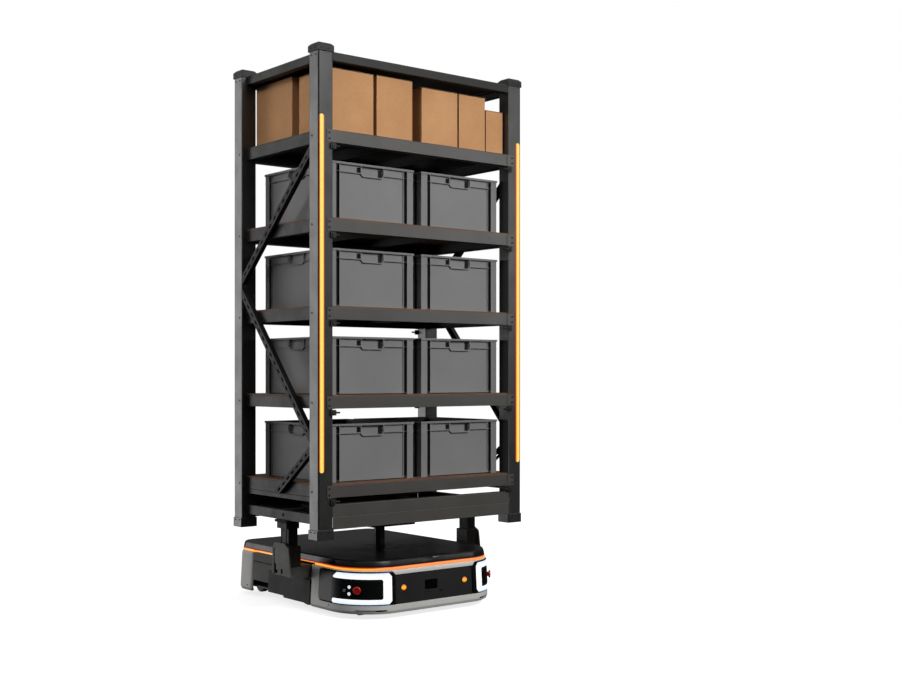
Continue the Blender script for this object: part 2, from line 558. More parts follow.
def plan(s, inset):
    """Point of the body's plan outline on the left half, s millimetres round from the middle of the front."""
    key = round(inset, 4)
    if key not in _cache:
        w, l = BODY_HALF_W - inset, BODY_HALF_L - inset
        r = max(REAR_CORNER_R - inset, 15.0)
        ax, ay = FRONT_FLAT - 0.25 * inset, -l
        mx, my = CORNER_MID[0] - 0.73 * inset, CORNER_MID[1] + 0.68 * inset
        cx, cy, cr = circle3((ax, ay), (mx, my), (w, CORNER_END_Y))
        a0 = math.atan2(ax - cx, -(ay - cy))
        a1 = math.atan2(w - cx, -(CORNER_END_Y - cy))
        _cache[key] = (w, l, r, ax, ay, cx, cy, cr, a0, a1)
    w, l, r, ax, ay, cx, cy, cr, a0, a1 = _cache[key]
    if s <= FRONT_FLAT:
        return -s * ax / FRONT_FLAT, ay
    if s <= S_CORNER:
        a = a0 + (a1 - a0) * (s - FRONT_FLAT) / (S_CORNER - FRONT_FLAT)
        return -(cx + cr * math.sin(a)), cy - cr * math.cos(a)
    if s <= S_REARC:
        return -w, CORNER_END_Y + (s - S_CORNER) * ((l - r) - CORNER_END_Y) / (S_REARC - S_CORNER)
    if s <= S_REAR:
        a = (s - S_REARC) / REAR_CORNER_R
        return -(w - r) - r * math.cos(a), (l - r) + r * math.sin(a)
    return -(w - r) * (S_END - s) / (S_END - S_REAR), l


def surf(s, z, out):
    x, y = plan(s, lean(z) - out)
    return Vector((x, y, z))


def s_of_u(u, inset=4.0):
    """Distance round the body of the upright line that stands u across the left front corner."""
    lo, hi = 100.0, S_CORNER + 200.0
    for _ in range(50):
        m = (lo + hi) / 2
        x, y = plan(m, inset)
        if (y - x) / math.sqrt(2) < u:
            lo = m
        else:
            hi = m
    return (lo + hi) / 2


def s_of_y(y):
    return S_CORNER + (y - CORNER_END_Y)


def s_of_angle(deg):
    return FRONT_FLAT + CR0 * (math.radians(deg) - A0)


def ring_columns(s0, s1, step=8.0):
    """Where the upright lines of a wrapped piece go: close on the curves, sparse on the straights."""
    cols = []
    for a, b_, st in ((0, FRONT_FLAT, 60.0), (FRONT_FLAT, S_CORNER, step), (S_CORNER, S_REARC, 60.0), (S_REARC, S_REAR, step), (S_REAR, S_END, 60.0)):
        n = max(1, round((b_ - a) / st))
        cols += [a + (b_ - a) * i / n for i in range(n)]
    return [c for c in cols if s0 + 2.5 < c < s1 - 2.5]


def wrap(outer, holes=(), rows=(), out=lambda s, z: 0.0, thick=4.0, step=8.0, mirror=False, avoid=()):
    """Closed sheet that follows the body: outer and holes are [(s, z)] outlines, out(s, z) stands it off the surface."""
    s0, s1 = min(p[0] for p in outer), max(p[0] for p in outer)
    z0, z1 = min(p[1] for p in outer), max(p[1] for p in outer)
    pts, edges, faces = [], [], []

    def poly(ps):
        area = sum(ps[i][0] * ps[(i + 1) % len(ps)][1] - ps[(i + 1) % len(ps)][0] * ps[i][1] for i in range(len(ps)))
        ps = list(ps) if area > 0 else list(reversed(ps))
        b0 = len(pts)
        pts.extend(Vector(p) for p in ps)
        faces.append(list(range(b0, b0 + len(ps))))

    poly(outer)
    for h in holes:
        poly(h)
    verts_x = sorted({round(p[0], 3) for h in (outer, *holes) for p in h} | set(avoid))
    for c in ring_columns(s0, s1, step):
        if any(abs(c - x) < 2.2 for x in verts_x):
            continue
        edges.append((len(pts), len(pts) + 1))
        pts.extend((Vector((c, z0 - 1)), Vector((c, z1 + 1))))
    for r in rows:
        if z0 + 0.3 < r < z1 - 0.3:
            edges.append((len(pts), len(pts) + 1))
            pts.extend((Vector((s0 - 1, r)), Vector((s1 + 1, r))))
    v, e, f, ov, oe, of = delaunay_2d_cdt(pts, edges, faces, 4, 1e-4)
    keep = [q for q, o in zip(f, of) if 0 in o and not any(i in o for i in range(1, 1 + len(holes)))]
    bm = bmesh.new()
    used = sorted({i for q in keep for i in q})
    front, back = {}, {}
    for i in used:
        s, z = v[i]
        o = out(s, z)
        front[i] = bm.verts.new(surf(s, z, o))
        back[i] = bm.verts.new(surf(s, z, o - thick))
    count = {}
    for q in keep:
        bm.faces.new([front[i] for i in q])
        bm.faces.new([back[i] for i in reversed(q)])
        for a, b_ in zip(q, q[1:] + q[:1]):
            count[(min(a, b_), max(a, b_))] = count.get((min(a, b_), max(a, b_)), []) + [(a, b_)]
    for k, dirs in count.items():
        if len(dirs) == 1:
            a, b_ = dirs[0]
            bm.faces.new((front[b_], front[a], back[a], back[b_]))
    bmesh.ops.recalc_face_normals(bm, faces=bm.faces)
    return bm


def mirrored(bm):
    c = bm.copy()
    bmesh.ops.scale(c, vec=(-1, 1, 1), verts=c.verts)
    bmesh.ops.reverse_faces(c, faces=c.faces)
    return c


def merge(*bms):
    """One mesh from several."""
    base = bms[0]
    for k in ("edge", "cav"):
        for b_ in bms:
            if b_.faces.layers.float.get(k) is None:
                b_.faces.layers.float.new(k)
    for b_ in bms[1:]:
        me = bpy.data.meshes.new("tmp")
        b_.to_mesh(me)
        b_.free()
        base.from_mesh(me)
        bpy.data.meshes.remove(me)
    return base


def rounded(pts, radii, n=4):
    """Polygon with its corners rounded; a radius of None leaves the corner, a negative one is a flat chamfer."""
    out = []
    k = len(pts)
    for i, (p, r) in enumerate(zip(pts, radii)):
        p0, p2 = Vector(pts[i - 1]), Vector(pts[(i + 1) % k])
        p1 = Vector(p)
        if not r:
            out.append(tuple(p1))
            continue
        a, b_ = (p0 - p1).normalized(), (p2 - p1).normalized()
        d = abs(r)
        q0, q1 = p1 + a * d, p1 + b_ * d
        if r < 0:
            out += [tuple(q0), tuple(q1)]
        else:
            for j in range(n + 1):
                t = j / n
                out.append(tuple(q0 * (1 - t) ** 2 + p1 * 2 * t * (1 - t) + q1 * t * t))
    return out


def s_of_x(x):
    """Distance round the body of the point of the left front corner whose X is -x."""
    lo, hi = 0.0, S_CORNER
    for _ in range(50):
        m = (lo + hi) / 2
        if -plan(m, 4.0)[0] < x:
            lo = m
        else:
            hi = m
    return (lo + hi) / 2


def disc(s, z, r, n=20):
    return [(s + r * math.cos(2 * math.pi * i / n), z + r * math.sin(2 * math.pi * i / n)) for i in range(n)]


def sweep(s0, s1, profile, step=8.0):
    """Closed bar of a constant section, profile [(inset, z)], that runs round the body from s0 to s1."""
    cols = sorted({s0, s1} | {c for c in ring_columns(s0 - 2.6, s1 + 2.6, step) if s0 + 1 < c < s1 - 1})
    bm = bmesh.new()
    rings = [[bm.verts.new((*plan(c, i), z)) for i, z in profile] for c in cols]
    n = len(profile)
    for a, b_ in zip(rings, rings[1:]):
        for i in range(n):
            j = (i + 1) % n
            bm.faces.new((a[i], b_[i], b_[j], a[j]))
    bm.faces.new(rings[0])
    bm.faces.new(list(reversed(rings[-1])))
    bmesh.ops.recalc_face_normals(bm, faces=bm.faces)
    return bm


# ------------------------------------------------------------------ robot body: shells
S_A, S_B = s_of_u(-191.0), s_of_u(121.0)
SY, SR = s_of_y(FRONT_SHELL_Y), s_of_y(REAR_SHELL_Y)


def shoulder(z):
    return -5.0 * (1 - math.sqrt(max(0.0, 1 - ((z - 172.0) / 12.0) ** 2))) if z > 172 else 0.0


def skirt(z):
    return -5.5 * (34.0 - z) / 12.0 if z < 34 else 0.0


def out_front(s, z):
    o = shoulder(z) + skirt(z)
    if s > SY - 14:
        o -= 7.0 * (1 - math.sqrt(max(0.0, 1 - ((s - SY + 14) / 14.0) ** 2)))
    return o


def out_rear(s, z):
    o = shoulder(z) + skirt(z)
    if s < SR + 14:
        o -= 7.0 * (1 - math.sqrt(max(0.0, 1 - ((SR + 14 - s) / 14.0) ** 2)))
    return o


ROWS = (25.0, 28.0, 31.0, 34.0, 172.0, 175.0, 178.0, 180.5, 182.4)
front_outer = [(0.4, 22.0), (SY - 4.0, 22.0), (SY, 26.0), (SY, 180.0), (SY - 4.0, 184.0), (0.4, 184.0), (0.4, 167.0), (S_A - 1.0, 167.0), (S_A + 14.0, 181.4),
               (S_B - 19.0, 181.4), (S_B - 10.0, 179.6), (S_B - 3.0, 174.0), (S_B + 0.5, 164.0), (S_B + 0.5, 72.0), (S_B - 3.0, 62.0),
               (S_B - 10.0, 56.0), (S_B - 18.0, 54.2), (0.4, 54.2)]
sl0, sl1 = s_of_x(226.0), s_of_x(328.0)
slot_hole = [(sl0, 33.5), (sl0 + 9, 30.6), (sl0 + 46, 30.6), (sl0 + 50, 33.6), (sl1 - 4, 33.6), (sl1, 35.4), (sl1 - 3, 37.4), (sl0 + 4, 37.4)]
extra_cols = (SY - 14, SY - 9, SY - 5, SY - 2)
fix_hole = disc(s_of_y(-262.0), 44.0, 4.0, 16)
shell_l = wrap(front_outer, [slot_hole, fix_hole], rows=ROWS, out=out_front, thick=4.0)
bevel(shell_l, 0.9, 2, 38, clamp=True)
shell_r = mirrored(shell_l)
emit(shell_l, "front_shell_left", M["shell"], "chassis", ("front_shells",))
emit(shell_r, "front_shell_right", M["shell"], "chassis", ("front_shells",))

s_open = S_END - 95.0
rear_outer = [(SR + 4, 22.0), (S_END - 0.4, 22.0), (S_END - 0.4, 62.0), (s_open + 6, 62.0), (s_open, 68.0), (s_open, 136.0), (s_open + 6, 142.0),
              (S_END - 0.4, 142.0), (S_END - 0.4, 184.0), (SR + 4, 184.0), (SR, 180.0), (SR, 26.0)]
rear_l = wrap(rear_outer, [disc(s_of_y(352.0), 44.0, 4.0, 16)], rows=ROWS, out=out_rear, thick=4.0)
bevel(rear_l, 0.9, 2, 38)
rear_r = mirrored(rear_l)
emit(rear_l, "rear_shell_left", M["shell"], "chassis", ("rear_shells",))
emit(rear_r, "rear_shell_right", M["shell"], "chassis", ("rear_shells",))

slot_back = wrap([(sl0 - 8, 28.0), (sl1 + 8, 28.0), (sl1 + 8, 41.0), (sl0 - 8, 41.0)], rows=(31.0, 34.0), out=lambda s, z: skirt(z) - 4.4, thick=1.6)
slot_back_r = mirrored(slot_back)
emit(slot_back, "lip_slot_liner_left", M["void"], "chassis")
emit(slot_back_r, "lip_slot_liner_right", M["void"], "chassis")

# screws sunk in the shells' fixing holes
bm = bmesh.new()
for yy in (-262.0, 352.0):
    for sx in (-1, 1):
        p = surf(s_of_y(yy), 44.0, -2.6)
        q = Vector((p.x * -sx, p.y, p.z)) if sx > 0 else p
        c = Vector((abs(p.x) * sx, p.y, p.z))
        lathe(bm, [(0, -6), (3.6, -6), (3.6, -0.6), (3.0, 0), (1.7, 0), (1.6, -1.4), (0, -1.6)], c, (sx, 0, 0), 20)
emit(bm, "shell_screws", M["zinc"], "chassis")


# side panels
def out_upper(s, z):
    if z > 174:
        o = -2.0 - 7.0 * ((z - 174.0) / 13.0) ** 2
    elif z > 151:
        o = -2.0
    elif z > 144:
        o = -2.0 - 7.5 * (151.0 - z) / 7.0
    elif z > 141:
        o = -9.5 + 2.0 * (144.0 - z) / 3.0
    else:
        o = -7.5 + 2.0 * (141.0 - z) / 71.0
    return o


y2s = s_of_y
up_outer = [(y2s(-41.0), 70.0), (y2s(317.0), 70.0), (y2s(317.0), 187.0), (y2s(-41.0), 187.0)]
upper = wrap(up_outer, rows=(141.0, 144.0, 151.0, 174.0, 178.0, 182.0, 185.0), out=out_upper, thick=3.0)
bevel(upper, 0.8, 2, 38)
lo_outer = [(y2s(-124.2), 28.0), (y2s(69.0), 28.0), (y2s(69.0), 36.0), (y2s(187.0), 36.0), (y2s(188.0), 38.0), (y2s(188.0), 121.0),
            (y2s(186.0), 124.0), (y2s(-124.2), 124.0)]
lower = wrap(lo_outer, rows=(32.0, 80.0, 86.0, 120.0, 122.0), thick=4.0,
             out=lambda s, z: -1.0 - (2.0 * max(0.0, (z - 120.0) / 4.0) ** 2) - (1.2 if z < 83 else 0.0) * min(1.0, (83 - z) / 3.0) - max(0.0, (32 - z) * 0.5))
bevel(lower, 0.8, 2, 38)
cheek = wrap([(y2s(-124.2), 124.4), (y2s(-119.5), 124.4), (y2s(-119.5), 183.0), (y2s(-124.2), 183.0)], out=lambda s, z: -7.0, thick=3.0)
bevel(cheek, 0.6, 1, 38)
for nm, b_, mt, sl in (("side_panel_upper", upper, "side", "side_grey"), ("side_panel_lower", lower, "side_low", "side_grey"),
                       ("side_cheek", cheek, "side_low", "side_grey")):
    r_ = mirrored(b_)
    emit(b_, nm + "_left", M[mt], "chassis", ("side_panels",))
    emit(r_, nm + "_right", M[mt], "chassis", ("side_panels",))

# front panel
PW = S_A - 1.6
pan = wrap([(-PW, 54.8), (PW, 54.8), (PW, 166.3), (-PW, 166.3)],
           [disc(-150.0, 115.0, 11.3, 24), disc(150.0, 115.0, 11.3, 24), rounded([(-14.5, 95.5), (48.5, 95.5), (48.5, 133.5), (-14.5, 133.5)], (3, 3, 3, 3)),
            rounded([(-41, 82.5), (-25, 82.5), (-25, 90.5), (-28.6, 90.5), (-28.6, 86.0), (-41, 86.0)], (0.8,) * 6, 2),
            rounded([(11, 84.4), (54, 84.4), (54, 86.4), (11, 86.4)], (0.6,) * 4, 2)],
           rows=(60.0, 161.0), out=lambda s, z: -4.0 - (1.2 if (z < 57 or z > 164.5) else 0.0), thick=3.2)
bevel(pan, 0.6, 2, 38)
emit(pan, "front_panel_cover", M["panel"], "chassis", ("front_panel",))
# dark backing seen through the panel's small slots, and the thin frame of the camera window
back = wrap([(-60, 78.0), (60, 78.0), (60, 94.0), (-60, 94.0)], out=lambda s, z: -7.6, thick=2.0)
emit(back, "panel_slot_backing", M["void"], "chassis")
camera = wrap(rounded([(-13.6, 96.2), (47.6, 96.2), (47.6, 132.8), (-13.6, 132.8)], (2.5,) * 4), out=lambda s, z: -5.0, thick=3.0)
bevel(camera, 0.8, 3, 38)
emit(camera, "camera_glass", M["glass"], "chassis", ("camera_window",))
bm = bmesh.new()
cy_ = plan(0, lean(113) + 4.6)[1]
for cx in (0.0, 34.0):
    lathe(bm, [(0, -2), (7.5, -2), (7.5, 0.3), (6.6, 0.7), (5.2, 0.3), (4.8, -0.6), (3.4, -0.2), (0, 0.5)], (cx, cy_ + 1.2, 114), (0, -1, 0), 32)
add = emit(bm, "camera_lenses", M["glass"], "chassis")

# headlight housings
HB = 55.4
house_outer = [(S_A - 0.4, HB + 7), (S_A + 7, HB)] + [(S_B - 19.0, HB), (S_B - 10.0, HB + 1.6), (S_B - 3.6, HB + 7.0), (S_B - 0.4, HB + 17.0), (S_B - 0.4, 163.5),
              (S_B - 3.6, 173.4), (S_B - 10.4, 178.8), (S_B - 19.0, 180.6), (S_A + 14.4, 180.6), (S_A - 0.4, 166.4)]
C_A, C_I, C_E = s_of_u(-178.0), s_of_u(-148.0), s_of_u(49.0)
SE, SLA, SRG = s_of_angle(51.0), s_of_angle(61.5), s_of_angle(68.0)


def out_house(s, z):
    """Rim that rolls over at its edge and a shallow dish inside it."""
    d = min(s - (S_A - 0.4), (S_B - 0.4) - s, z - HB, 180.6 - z)
    if d < 6.0:
        return 1.5 - 2.0 * (1 - d / 6.0) ** 2
    return 1.5


holes_h = [disc(SE, 113.0, 9.6, 28), disc(SLA, 123.5, 6.7, 20), disc(SLA, 98.0, 6.7, 20), disc(SRG, 110.0, 6.9, 20)]
house = wrap(house_outer, holes_h, rows=(HB + 2, HB + 4, HB + 6, 174.6, 176.6, 178.6), out=out_house, thick=8.0, step=7.0)
bevel(house, 0.5, 2, 38)
hr = mirrored(house)
emit(house, "headlight_housing_left", M["gloss"], "chassis", ("headlight_housings",))
emit(hr, "headlight_housing_right", M["gloss"], "chassis", ("headlight_housings",))

# raised inset that carries the buttons, inside the C
inset_outer = [(C_I + 7.5, 83.0), (C_E + 2, 83.0), (C_E + 9, 88.0), (C_E + 9, 142.0), (C_E + 2, 147.0), (C_I + 7.5, 147.0), (C_I + 3.2, 142.6), (C_I + 3.2, 87.4)]
ins = wrap(inset_outer, holes_h, out=lambda s, z: 2.5, thick=1.6, step=7.0)
bevel(ins, 0.5, 2, 38)
ir = mirrored(ins)
emit(ins, "button_plate_left", M["gloss"], "chassis")
emit(ir, "button_plate_right", M["gloss"], "chassis")

# C-shaped lenses
c_poly = [(C_A + 11, 59.0), (C_E - 2, 59.0), (C_E + 4, 62.5), (C_E + 5.0, 68.0), (C_E + 3.5, 74.5), (C_E - 3, 77.0), (C_I + 5, 77.0), (C_I, 82.0), (C_I, 147.0),
          (C_I + 6, 153.0), (C_E - 2, 154.0), (C_E + 3.0, 157.0), (C_E + 2.0, 162.0), (C_E - 16, 174.6), (C_E - 20, 176.0), (C_A + 12, 176.0), (C_A, 163.0), (C_A, 71.0)]
lens = wrap(c_poly, out=lambda s, z: 3.2, thick=2.6, step=7.0)
bevel(lens, 1.1, 3, 38)
lr = mirrored(lens)
emit(lens, "headlight_lens_left", M["white_light"], "chassis", ("headlight_lenses",))
emit(lr, "headlight_lens_right", M["white_light"], "chassis", ("headlight_lenses",))


def corner_point(deg, z, out):
    a = math.radians(deg)
    n = Vector((-math.sin(a), -math.cos(a), 0))
    return Vector((-CX0, CY0, z)) + n * (CR0 - lean(z) + out), n


def flip(p):
    return Vector((-p.x, p.y, p.z))


# status lamps and amber lamps
bm = bmesh.new()
for z in (123.5, 98.0):
    p, n = corner_point(61.5, z, 0.0)
    for q, m_ in ((p, n), (flip(p), flip(n))):
        lathe(bm, [(0, -5), (6.3, -5), (6.3, 2.4), (5.2, 3.4), (3.0, 4.1), (0, 4.4)], q, m_, 28)
emit(bm, "status_lamps", M["white_dot"], "chassis", ("indicator_lamps",))
bm = bmesh.new()
for sx in (-1, 1):
    y_ = plan(150, lean(115) + 4.0)[1]
    lathe(bm, [(0, -4), (10.8, -4), (10.8, 1.2), (10.0, 3.2), (7.6, 4.9), (4.0, 5.8), (0, 6.1)], (sx * 150.0, y_, 115), (0, -1, 0), 40)
emit(bm, "amber_lamps", M["amber"], "chassis")
bm = bmesh.new()
for sx in (-1, 1):
    y_ = plan(150, lean(115) + 4.0)[1]
    lathe(bm, [(11.0, -2.5), (13.4, -2.5), (13.4, 0.5), (12.6, 1.3), (11.4, 1.3), (11.0, 0.4), (11.0, -2.5)], (sx * 150.0, y_, 115), (0, -1, 0), 40)
emit(bm, "amber_bezels", M["gloss"], "chassis")

# emergency-stop and reset buttons
for side, fl in (("left", False), ("right", True)):
    p, n = corner_point(51.0, 113.0, 0.0)
    if fl:
        p, n = flip(p), flip(n)
    bm = bmesh.new()
    lathe(bm, [(0, -16), (8.9, -16), (8.9, 7.6), (14.6, 8.0), (15.4, 9.2), (15.5, 12.4), (14.6, 14.6), (12.6, 15.8), (9.0, 15.9), (4.5, 15.3), (0, 15.1)], p, n, 48)
    emit(bm, "estop_cap_" + side, M["red"], "estop_button_" + side, ("estop_" + side,))
    p, n = corner_point(68.0, 110.0, 0.0)
    if fl:
        p, n = flip(p), flip(n)
    bm = bmesh.new()
    lathe(bm, [(0, -14), (8.4, -14), (8.4, -12), (6.3, -12), (6.3, 3.2), (5.6, 4.0), (4.4, 4.0), (3.9, 3.2), (3.7, 2.2), (0, 1.9)], p, n, 36)
    emit(bm, "reset_button_ring_" + side, M["button"], "reset_" + side, ("reset_button_" + side,))

# light ring
RINGP = [(21.0, 184.3), (14.4, 184.3), (13.3, 185.6), (12.7, 188.0), (12.7, 192.6), (13.6, 195.4), (15.4, 196.8), (21.0, 196.8)]
SIDEP = [(21.0, 187.4), (13.8, 187.4), (12.9, 189.0), (12.8, 193.0), (13.7, 195.5), (15.4, 196.8), (21.0, 196.8)]
THINP = [(21.0, 190.8), (14.0, 190.8), (13.0, 191.8), (12.9, 194.0), (13.7, 195.8), (15.4, 196.8), (21.0, 196.8)]
parts_ = [sweep(0.4, y2s(-150.0), RINGP), sweep(y2s(-150.4), y2s(-32.4), THINP), sweep(y2s(-32.0), y2s(300.0), SIDEP), sweep(y2s(300.4), S_END - 0.4, RINGP)]
ring = merge(*parts_)
ring_r = mirrored(ring)
emit(ring, "light_ring_left", M["ring"], "chassis", ("base_led_ring",))
emit(ring_r, "light_ring_right", M["ring"], "chassis", ("base_led_ring",))

# deck covers: a slab with its holes, and a skirt with a stepped, rounded shoulder
SKIRT_PROFILE = [(18.4, 197.3), (14.3, 197.3), (13.9, 199.0), (15.4, 206.0), (17.6, 213.0), (18.6, 216.2), (19.6, 218.0), (21.2, 219.8), (23.0, 221.2), (25.2, 222.0)]


def arc_side(cx, cy, r, n, side):
    return [(cx + side * r * math.sin(math.pi * i / n), cy + r * math.cos(math.pi * i / n)) for i in range(n + 1)]


def deck_half():
    cols = [0.0] + ring_columns(-1, S_END + 1, 8.0)
    cols = sorted({round(c, 4) for c in cols if 0 < c < S_END} | {0.0, S_END})
    edge = lambda inset: [(min(plan(c, inset)[0], -0.4), plan(c, inset)[1]) for c in cols]
    top = edge(25.2)
    # plan outline: round the outside from front to rear, then back along the seam, round the ram's hole
    seam = [(-0.4, RACK_Y + 28.0)] + [(-max(0.4, -x), y) for x, y in arc_side(0, RACK_Y, 28.0, 20, -1)[1:-1]] + [(-0.4, RACK_Y - 28.0)]
    outer = top + seam
    holes = [[(x + r * math.cos(2 * math.pi * i / k), y + r * math.sin(2 * math.pi * i / k)) for i in range(k)]
             for x, y, r, k in [(-220, 120, 4.25, 20), (-220, 400, 4.25, 20)]
             + [(-x, y, 5.0, 18) for x, y in ((300, -300), (310, 100), (300, 400), (120, -430), (120, 425))]
             + [(52 * math.cos(math.radians(a)), RACK_Y + 52 * math.sin(math.radians(a)), 4.0, 16) for a in (150, 210)]]
    pts, faces = [], []
    for p in [outer] + holes:
        area = sum(p[i][0] * p[(i + 1) % len(p)][1] - p[(i + 1) % len(p)][0] * p[i][1] for i in range(len(p)))
        p = p if area > 0 else list(reversed(p))
        b0 = len(pts)
        pts += [Vector(q) for q in p]
        faces.append(list(range(b0, b0 + len(p))))
    # groove circles of the bearing plate and cross lines that keep the faces regular
    edges = []
    for y in (-380, -250, -180, 0, 60, 180, 300, 380):
        edges.append((len(pts), len(pts) + 1))
        pts += [Vector((-500, y)), Vector((10, y))]
    for x in (-40, -110, -170, -260, -300):
        edges.append((len(pts), len(pts) + 1))
        pts += [Vector((x, -600)), Vector((x, 600))]
    v, e, f, ov, oe, of = delaunay_2d_cdt(pts, edges, faces, 4, 1e-4)
    keep = [q for q, o in zip(f, of) if 0 in o and not any(i in o for i in range(1, 1 + len(holes)))]
    bm = bmesh.new()
    front, back = {}, {}
    for i in sorted({i for q in keep for i in q}):
        front[i] = bm.verts.new((v[i].x, v[i].y, 222.0))
        back[i] = bm.verts.new((v[i].x, v[i].y, 217.0))
    count = {}
    for q in keep:
        bm.faces.new([front[i] for i in q])
        bm.faces.new([back[i] for i in reversed(q)])
        for a, b_ in zip(q, q[1:] + q[:1]):
            count.setdefault((min(a, b_), max(a, b_)), []).append((a, b_))
    for k, dirs in count.items():
        if len(dirs) == 1:
            a, b_ = dirs[0]
            bm.faces.new((front[b_], front[a], back[a], back[b_]))
    bmesh.ops.recalc_face_normals(bm, faces=bm.faces)
    bevel(bm, 0.7, 2, 38, test=lambda e: all((Vector((q.co.x, q.co.y)) - Vector(o)).length < rr for q in e.verts for o, rr in [((0, 0), 9999)])
          and any(abs(q.co.z - 222.0) < 0.01 for q in e.verts) and (abs(e.verts[0].co.x + 0.4) < 0.1 or min(
              (Vector((e.verts[0].co.x, e.verts[0].co.y)) - Vector(h)).length for h in [(-220, 120), (-220, 400), (0, RACK_Y)] + [(-x, y) for x, y in (
                  (300, -300), (310, 100), (300, 400), (120, -430), (120, 425))]) < 30) and all(abs(q.co.z - 222.0) < 0.01 for q in e.verts))
    # skirt
    sk = bmesh.new()
    prof = [(25.2, 217.0), (22.0, 214.0)] + SKIRT_PROFILE
    rings = [[sk.verts.new((min(plan(c, i)[0], -0.4), plan(c, i)[1], z)) for i, z in prof] for c in cols]
    n = len(prof)
    for a, b_ in zip(rings, rings[1:]):
        for i in range(n):
            j = (i + 1) % n
            sk.faces.new((a[i], b_[i], b_[j], a[j]))
    sk.faces.new(rings[0])
    sk.faces.new(list(reversed(rings[-1])))
    bmesh.ops.recalc_face_normals(sk, faces=sk.faces)
    return merge(bm, sk)


dl = deck_half()
dr = mirrored(dl)
emit(dl, "deck_cover_left", M["deck"], "chassis", ("deck_covers",))
emit(dr, "deck_cover_right", M["deck"], "chassis", ("deck_covers",))
bm = bmesh.new()
lathe(bm, [(58.0, 221.4), (92.0, 221.4), (92.0, 222.3), (91.2, 222.7), (59.0, 222.7), (58.0, 222.2), (58.0, 221.4)], (0, RACK_Y, 0), (0, 0, 1), 72)
emit(bm, "column_seal_plates", M["deck"], "chassis")

# ------------------------------------------------------------------ lift and chassis
copy_node("lift_brackets", "lift_bracket_pair", M["bracket"], "chassis", 1.2, 3)
# black liners seen through the plates' slots, and the black sleeves that guide the masts
MX, MY = 448.0, -115.0
for side, sx in (("left", -1), ("right", 1)):
    bx = lambda a, b_: tuple(sorted((sx * a, sx * b_)))
    bm = complex_bm([("+", *bx(474.4, 475.6), -80.5, -55.5, 153.5, 194.5), ("+", *bx(474.4, 475.6), -117.5, -102.5, 154.5, 176.5)])
    bevel(bm, 0.2, 1, 50)
    emit(bm, "bracket_slot_liner_" + side, M["void"], "chassis")
    bm = complex_bm([("+", *bx(418.6, 472.9), MY - 37.6, MY + 37.6, 183.0, 263.5), ("-", *bx(427.2, 468.8), MY - 29.3, MY + 29.3, 182.0, 270.0)])
    bevel(bm, 1.6, 3, 50)
    emit(bm, "mast_guide_sleeve_" + side, M["cap"], "chassis")
copy_node("lift_masts", "lift_mast_pair", M["brace"], "lift", 1.2, 2)
copy_node("lift_pads", "lift_pad_pair", M["rubber"], "lift", 2.0, 3)
copy_node("lift_column", "lift_column_parts", M["ram"], "lift", 1.0, 2)
copy_node("lift_jack", "lift_jack_barrel", M["cast"], "chassis", 1.0, 2, keep=lambda lo, hi: hi[2] < 215)
bm = bmesh.new()
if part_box("lift_jack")[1][2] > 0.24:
    lathe(bm, [(23.0, 222.1), (37.8, 222.1), (38.0, 223.0), (38.0, 229.0), (36.6, 230.2), (38.0, 231.4), (38.0, 236.0), (36.6, 237.2), (38.0, 238.4), (38.0, 243.4),
               (36.2, 245.6), (24.2, 245.6), (23.0, 244.6), (23.0, 222.1)], (0, RACK_Y, 0), (0, 0, 1), 72)
    emit(bm, "ram_collar", M["rubber"], "chassis", ("lift_jack",))
copy_node("chassis_frame", "chassis_weldment", M["chassis"], "chassis", 1.0, 2)
copy_node("battery_pack", "battery_box", M["battery"], "chassis", 1.5, 2)
copy_node("control_box", "control_enclosure", M["cast"], "chassis", 1.2, 2)
copy_node("drive_units", "drive_unit_pair", M["cast"], "chassis", 1.2, 2)
copy_node("charging_contacts", "charging_contact_block", M["void"], "chassis", 0.8, 2, keep=lambda lo, hi: hi[0] - lo[0] > 160)
copy_node("charging_contacts", "charging_contact_bars", M["contact"], "chassis", 0.8, 2, keep=lambda lo, hi: hi[0] - lo[0] < 160)
copy_node("base_fasteners", "base_screws", M["zinc"], "chassis", 0.5, 2)

for side in ("left", "right"):
    copy_node("drive_hub_" + side, "drive_hub_casting_" + side, M["cast"], "drive_wheel_" + side, 1.0, 2)
    sx = -1 if side == "left" else 1
    bm = bmesh.new()
    prof = [(60.0, -22.5), (76.5, -22.5), (78.6, -21.6), (80.0, -19.0)]
    for g in (-10.0, 0.0, 10.0):
        prof += [(80.0, g - 1.8), (78.2, g - 1.2), (78.2, g + 1.2), (80.0, g + 1.8)]
    prof += [(80.0, 19.0), (78.6, 21.6), (76.5, 22.5), (60.0, 22.5), (60.0, -22.5)]
    lathe(bm, prof, (sx * 270.0, 0, 80.0), (1, 0, 0), 96)
    bmesh.ops.remove_doubles(bm, verts=bm.verts, dist=0.01)
    emit(bm, "drive_tyre_tread_" + side, M["poly"], "drive_wheel_" + side, ("drive_tyre_" + side,))
for nm, cx, cy in (("front_left", -250.0, -335.0), ("front_right", 250.0, -335.0), ("rear_left", -265.0, 370.0), ("rear_right", 265.0, 370.0)):
    copy_node("caster_fork_" + nm, "caster_fork_body_" + nm, M["zinc"], "caster_swivel_" + nm, 0.8, 2)
    bm = bmesh.new()
    lathe(bm, [(5.05, -14), (12, -14), (12.6, -13.2), (24, -11.5), (26, -13.2), (34.5, -13.2), (36.8, -11.6), (37.5, -8.5), (37.5, 8.5), (36.8, 11.6), (34.5, 13.2),
               (26, 13.2), (24, 11.5), (12.6, 13.2), (12, 14), (5.05, 14), (5.05, -14)], (cx, cy + 22.0, 37.5), (1, 0, 0), 64)
    bmesh.ops.remove_doubles(bm, verts=bm.verts, dist=0.01)
    emit(bm, "caster_wheel_tread_" + nm, M["poly"], "caster_roller_" + nm, ("caster_wheel_" + nm,))

